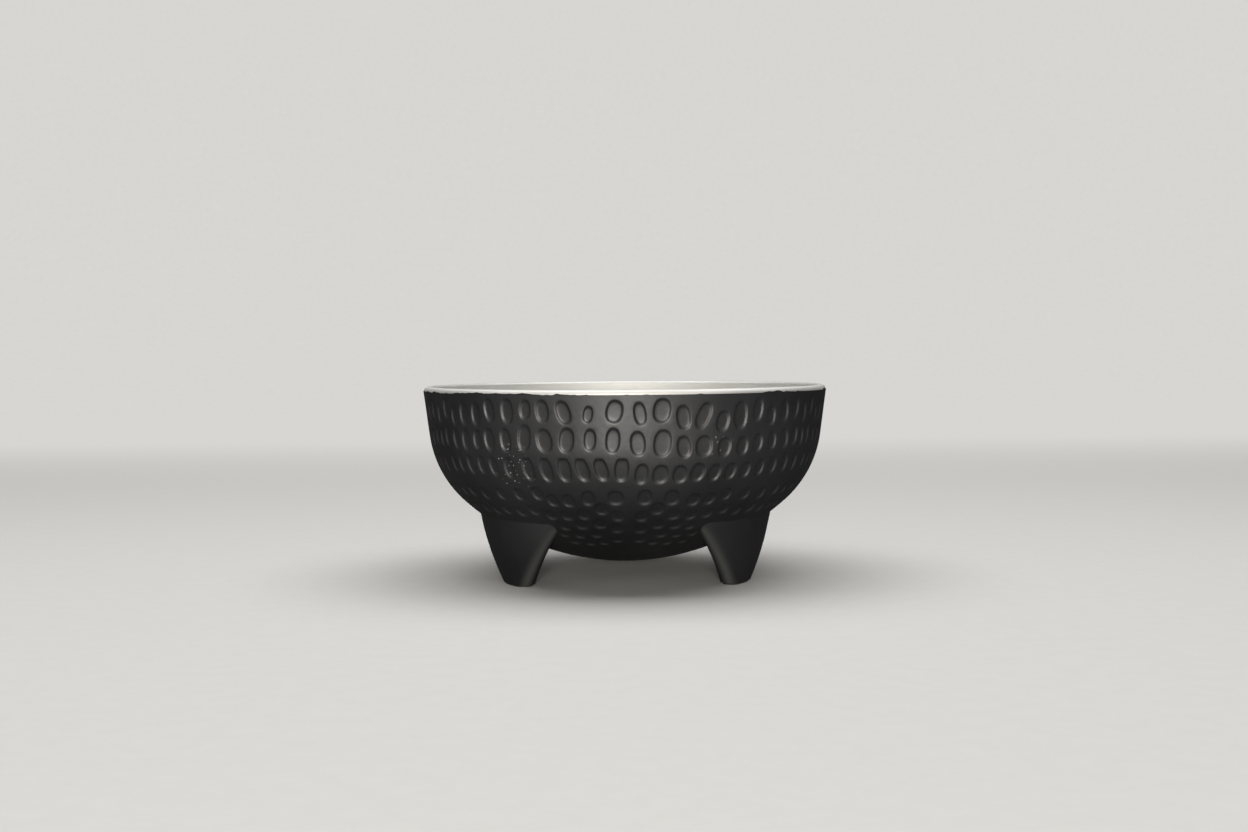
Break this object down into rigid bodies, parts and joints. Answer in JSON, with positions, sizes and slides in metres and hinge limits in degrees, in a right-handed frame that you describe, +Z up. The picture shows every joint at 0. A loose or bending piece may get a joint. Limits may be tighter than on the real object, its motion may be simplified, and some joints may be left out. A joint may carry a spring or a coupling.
{
  "type": "molcajete",
  "caption": "Round molcajete serving bowl with a dimpled black outside, a bright metal liner with a rounded lip, and splayed legs.",
  "frame": {"origin": "on the table, under the bowl's axis, level with the undersides of the three foot pads", "axes": "+Z up along the bowl's axis, -Y the front midway between two of the legs, +Y towards the rear leg, +X to the right seen from the front"},
  "size_m": [0.14, 0.14, 0.066],
  "materials": {
    "black_coat": "satin black coat over cast aluminium",
    "bright_aluminium": "brushed inside, polished lip",
    "screw_steel": "plain zinc-plated steel",
    "pad_rubber": "matt black"
  },
  "bodies": {
    "root": {"bowl_body": "black_coat", "bowl_liner": "bright_aluminium", "leg_front_left": "black_coat", "leg_screw_front_left": "screw_steel", "foot_pad_front_left": "pad_rubber", "leg_front_right": "black_coat", "leg_screw_front_right": "screw_steel", "foot_pad_front_right": "pad_rubber", "leg_rear": "black_coat", "leg_screw_rear": "screw_steel", "foot_pad_rear": "pad_rubber"}
  },
  "joints": []
}
